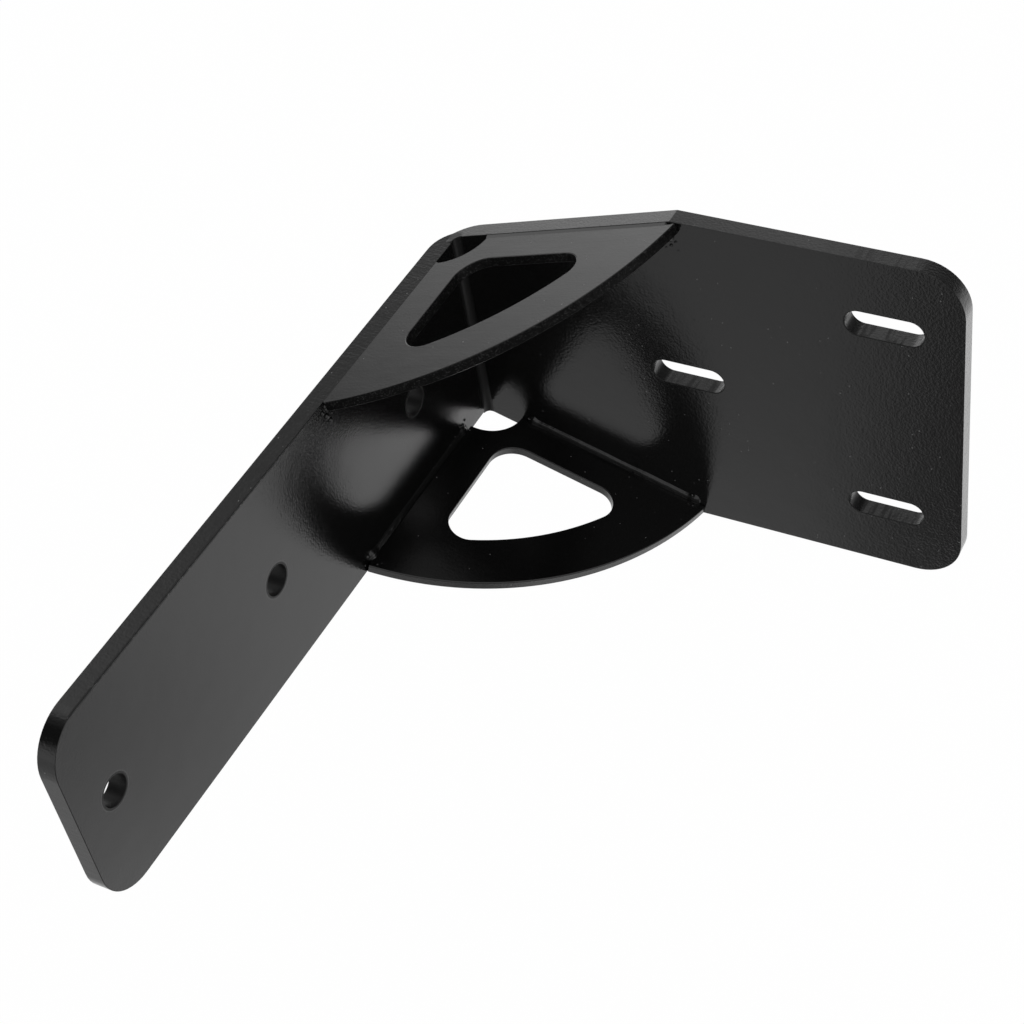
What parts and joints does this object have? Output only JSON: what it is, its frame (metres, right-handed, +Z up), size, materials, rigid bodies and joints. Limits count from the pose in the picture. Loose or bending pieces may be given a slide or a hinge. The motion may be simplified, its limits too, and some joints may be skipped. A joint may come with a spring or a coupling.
{
  "type": "awning bracket",
  "caption": "Right-angled awning bracket: a bent steel plate with slotted flange, drilled arm and curved, windowed gussets above and below the bend.",
  "frame": {"origin": "on the flange's outer (mounting) face, on the bracket's centreline, midway between the middle slot's column and the outer slots' column", "axes": "+Y out of the flange's outer face, so the arm runs towards -Y; +X from the arm towards the flange's free end; +Z up, along the flange's height"},
  "size_m": [0.1825, 0.24, 0.127],
  "materials": {
    "black_powder_coat": "satin black powder coat"
  },
  "bodies": {
    "root": {"bent_plate": "black_powder_coat", "upper_gusset": "black_powder_coat", "lower_gusset": "black_powder_coat", "weld_upper_arm": "black_powder_coat", "weld_upper_flange": "black_powder_coat", "weld_lower_arm": "black_powder_coat", "weld_lower_flange": "black_powder_coat"}
  },
  "joints": []
}
